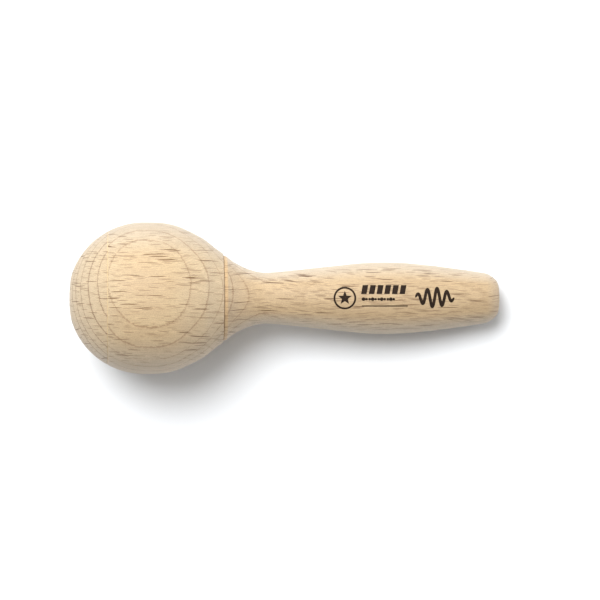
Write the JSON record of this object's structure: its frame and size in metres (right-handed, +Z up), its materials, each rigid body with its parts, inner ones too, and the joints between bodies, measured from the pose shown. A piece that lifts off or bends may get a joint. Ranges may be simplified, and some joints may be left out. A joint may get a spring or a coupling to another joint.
{
  "type": "baby rattle",
  "caption": "Maraca-shaped wooden baby rattle: hollow turned head with a glued cap, loose pellets inside, and a turned handle.",
  "frame": {"origin": "middle of the footprint, on the table that the rattle lies on", "axes": "+Z up; head towards -X, handle towards +X; the turned axis leans 8.8 degrees, handle end down, because head and handle both touch the table"},
  "size_m": [0.1396, 0.0488, 0.0494],
  "materials": {
    "beech_head": "matte",
    "beech_handle": "matte",
    "pellet_steel": "satin"
  },
  "bodies": {
    "rattle": {"head_cap": "beech_head", "head_shell": "beech_head", "handle": "beech_handle"},
    "pellet_01": {"pellet_01": "pellet_steel"},
    "pellet_02": {"pellet_02": "pellet_steel"},
    "pellet_03": {"pellet_03": "pellet_steel"},
    "pellet_04": {"pellet_04": "pellet_steel"},
    "pellet_05": {"pellet_05": "pellet_steel"},
    "pellet_06": {"pellet_06": "pellet_steel"},
    "pellet_07": {"pellet_07": "pellet_steel"},
    "pellet_08": {"pellet_08": "pellet_steel"},
    "pellet_09": {"pellet_09": "pellet_steel"},
    "pellet_10": {"pellet_10": "pellet_steel"},
    "pellet_11": {"pellet_11": "pellet_steel"},
    "pellet_12": {"pellet_12": "pellet_steel"},
    "pellet_13": {"pellet_13": "pellet_steel"},
    "pellet_14": {"pellet_14": "pellet_steel"},
    "pellet_15": {"pellet_15": "pellet_steel"},
    "pellet_16": {"pellet_16": "pellet_steel"},
    "pellet_17": {"pellet_17": "pellet_steel"},
    "pellet_18": {"pellet_18": "pellet_steel"},
    "pellet_19": {"pellet_19": "pellet_steel"},
    "pellet_20": {"pellet_20": "pellet_steel"},
    "pellet_21": {"pellet_21": "pellet_steel"},
    "pellet_22": {"pellet_22": "pellet_steel"},
    "pellet_23": {"pellet_23": "pellet_steel"},
    "pellet_24": {"pellet_24": "pellet_steel"}
  },
  "joints": [
    {"name": "pellet_01_hop", "type": "slide", "parent": "rattle", "child": "pellet_01", "axis": [0.1514, 0, 0.9885], "range_m": [0, 0.02097]},
    {"name": "pellet_02_hop", "type": "slide", "parent": "rattle", "child": "pellet_02", "axis": [0.1514, 0, 0.9885], "range_m": [0, 0.02097]},
    {"name": "pellet_03_hop", "type": "slide", "parent": "rattle", "child": "pellet_03", "axis": [0.1514, 0, 0.9885], "range_m": [0, 0.02097]},
    {"name": "pellet_04_hop", "type": "slide", "parent": "rattle", "child": "pellet_04", "axis": [0.1514, 0, 0.9885], "range_m": [0, 0.02097]},
    {"name": "pellet_05_hop", "type": "slide", "parent": "rattle", "child": "pellet_05", "axis": [0.1514, 0, 0.9885], "range_m": [0, 0.02738]},
    {"name": "pellet_06_hop", "type": "slide", "parent": "rattle", "child": "pellet_06", "axis": [0.1514, 0, 0.9885], "range_m": [0, 0.02738]},
    {"name": "pellet_07_hop", "type": "slide", "parent": "rattle", "child": "pellet_07", "axis": [0.1514, 0, 0.9885], "range_m": [0, 0.02738]},
    {"name": "pellet_08_hop", "type": "slide", "parent": "rattle", "child": "pellet_08", "axis": [0.1514, 0, 0.9885], "range_m": [0, 0.02738]},
    {"name": "pellet_09_hop", "type": "slide", "parent": "rattle", "child": "pellet_09", "axis": [0.1514, 0, 0.9885], "range_m": [0, 0.03007]},
    {"name": "pellet_10_hop", "type": "slide", "parent": "rattle", "child": "pellet_10", "axis": [0.1514, 0, 0.9885], "range_m": [0, 0.03007]},
    {"name": "pellet_11_hop", "type": "slide", "parent": "rattle", "child": "pellet_11", "axis": [0.1514, 0, 0.9885], "range_m": [0, 0.03007]},
    {"name": "pellet_12_hop", "type": "slide", "parent": "rattle", "child": "pellet_12", "axis": [0.1514, 0, 0.9885], "range_m": [0, 0.03007]},
    {"name": "pellet_13_hop", "type": "slide", "parent": "rattle", "child": "pellet_13", "axis": [0.1514, 0, 0.9885], "range_m": [0, 0.03007]},
    {"name": "pellet_14_hop", "type": "slide", "parent": "rattle", "child": "pellet_14", "axis": [0.1514, 0, 0.9885], "range_m": [0, 0.03007]},
    {"name": "pellet_15_hop", "type": "slide", "parent": "rattle", "child": "pellet_15", "axis": [0.1514, 0, 0.9885], "range_m": [0, 0.03007]},
    {"name": "pellet_16_hop", "type": "slide", "parent": "rattle", "child": "pellet_16", "axis": [0.1514, 0, 0.9885], "range_m": [0, 0.03007]},
    {"name": "pellet_17_hop", "type": "slide", "parent": "rattle", "child": "pellet_17", "axis": [0.1514, 0, 0.9885], "range_m": [0, 0.02738]},
    {"name": "pellet_18_hop", "type": "slide", "parent": "rattle", "child": "pellet_18", "axis": [0.1514, 0, 0.9885], "range_m": [0, 0.02738]},
    {"name": "pellet_19_hop", "type": "slide", "parent": "rattle", "child": "pellet_19", "axis": [0.1514, 0, 0.9885], "range_m": [0, 0.02738]},
    {"name": "pellet_20_hop", "type": "slide", "parent": "rattle", "child": "pellet_20", "axis": [0.1514, 0, 0.9885], "range_m": [0, 0.02738]},
    {"name": "pellet_21_hop", "type": "slide", "parent": "rattle", "child": "pellet_21", "axis": [0.1514, 0, 0.9885], "range_m": [0, 0.02097]},
    {"name": "pellet_22_hop", "type": "slide", "parent": "rattle", "child": "pellet_22", "axis": [0.1514, 0, 0.9885], "range_m": [0, 0.02097]},
    {"name": "pellet_23_hop", "type": "slide", "parent": "rattle", "child": "pellet_23", "axis": [0.1514, 0, 0.9885], "range_m": [0, 0.02097]},
    {"name": "pellet_24_hop", "type": "slide", "parent": "rattle", "child": "pellet_24", "axis": [0.1514, 0, 0.9885], "range_m": [0, 0.02097]}
  ]
}
